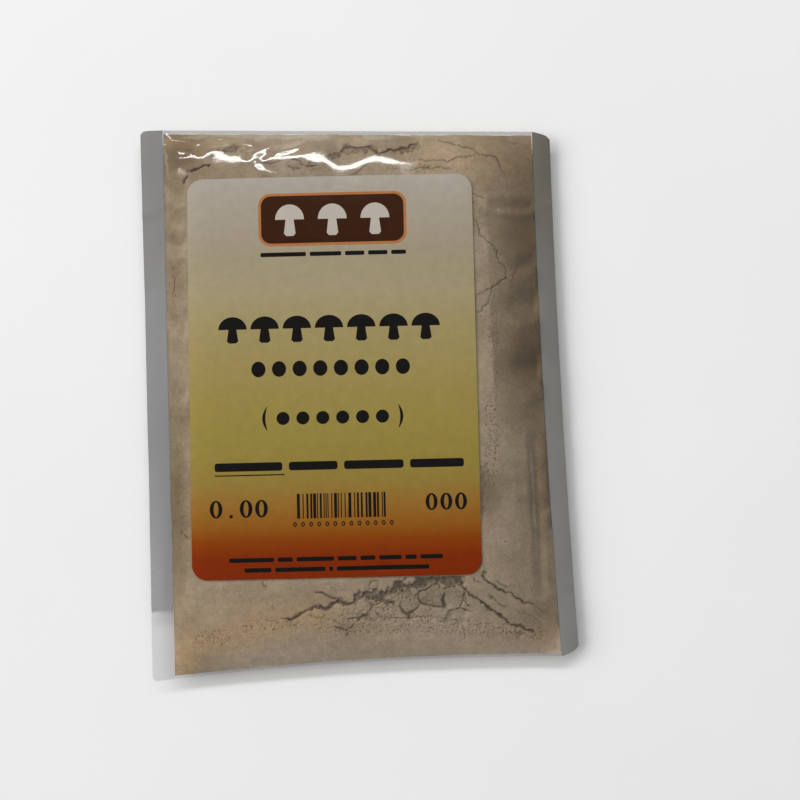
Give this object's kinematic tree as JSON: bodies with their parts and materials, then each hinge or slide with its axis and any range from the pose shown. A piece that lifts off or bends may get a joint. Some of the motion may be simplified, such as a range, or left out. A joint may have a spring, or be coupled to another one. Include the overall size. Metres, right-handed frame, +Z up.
{
  "type": "sealed clear pouch of mushroom powder",
  "caption": "Flat heat-sealed clear film pouch filled with dry mushroom powder, with a printed label on its front panel, lying on its back.",
  "frame": {"origin": "on the surface that the pouch lies on, under the middle of its outline in plan", "axes": "+Z up through the label, +Y towards the pouch's top weld, +X to the label's right"},
  "size_m": [0.1134, 0.1462, 0.0107],
  "materials": {
    "mushroom_powder": "matte",
    "clear_film": "gloss",
    "welded_film": "gloss",
    "label_paper": "satin"
  },
  "bodies": {
    "root": {"mushroom_powder": "mushroom_powder", "front_film": "clear_film", "back_film": "clear_film", "left_side_seal": "welded_film", "right_side_seal": "welded_film", "top_seal": "welded_film", "bottom_fold": "clear_film", "label": "label_paper"}
  },
  "joints": []
}
